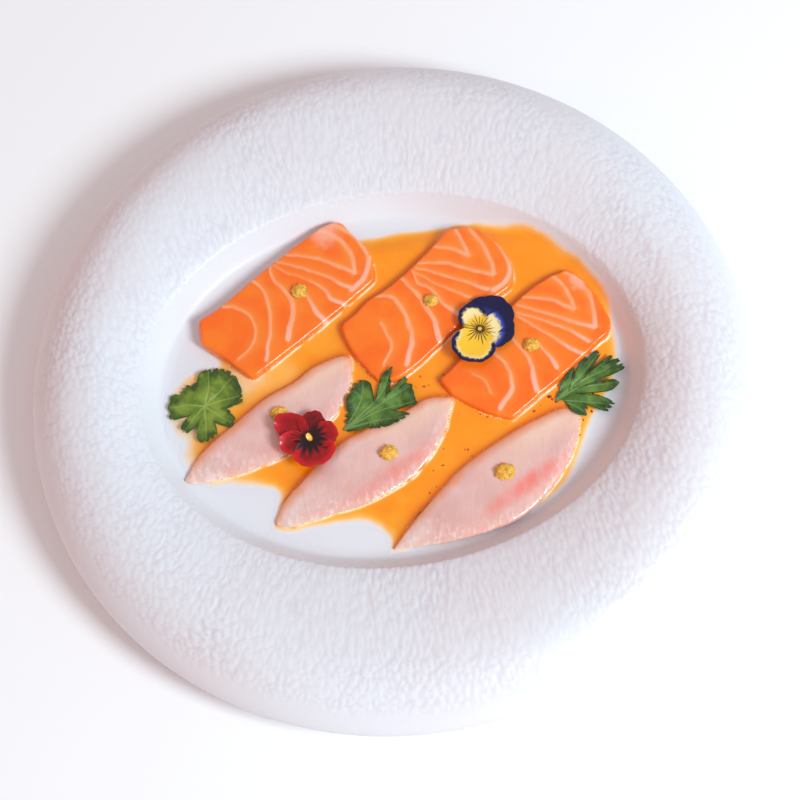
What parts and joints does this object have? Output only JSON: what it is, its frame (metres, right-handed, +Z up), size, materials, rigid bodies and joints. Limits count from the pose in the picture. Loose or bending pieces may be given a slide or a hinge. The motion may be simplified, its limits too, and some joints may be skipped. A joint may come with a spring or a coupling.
{
  "type": "sashimi plate",
  "caption": "Round white plate with a thick grained rim and an oval well, holding sliced salmon and white fish in orange sauce with coriander, viola flowers and paste dabs.",
  "frame": {"origin": "on the table under the plate's centre", "axes": "+Z up, +X along the oval well's long axis to the viewer's right, +Y away from the viewer"},
  "size_m": [0.28, 0.28, 0.028],
  "materials": {
    "plate_glaze": "white satin glaze, leather-like grain on the rim",
    "orange_sauce": "thin translucent orange sauce, wet",
    "salmon_flesh": "raw salmon, moist, pale fat lines",
    "white_flesh": "raw white fish, translucent, moist",
    "coriander_leaf": "fresh leaf, veined, soft sheen",
    "viola_blue_petal": "velvety petal, navy with a yellow face",
    "viola_red_petal": "velvety petal, dark red with a yellow eye",
    "citrus_paste": "grainy yellow paste"
  },
  "bodies": {
    "root": {"plate": "plate_glaze", "sauce": "orange_sauce", "salmon_1": "salmon_flesh", "salmon_2": "salmon_flesh", "salmon_3": "salmon_flesh", "white_fish_1": "white_flesh", "white_fish_2": "white_flesh", "white_fish_3": "white_flesh", "coriander_1": "coriander_leaf", "coriander_2": "coriander_leaf", "coriander_3": "coriander_leaf", "viola_blue": "viola_blue_petal", "viola_red": "viola_red_petal", "paste_salmon_1": "citrus_paste", "paste_salmon_2": "citrus_paste", "paste_salmon_3": "citrus_paste", "paste_white_1": "citrus_paste", "paste_white_2": "citrus_paste", "paste_white_3": "citrus_paste"}
  },
  "joints": []
}
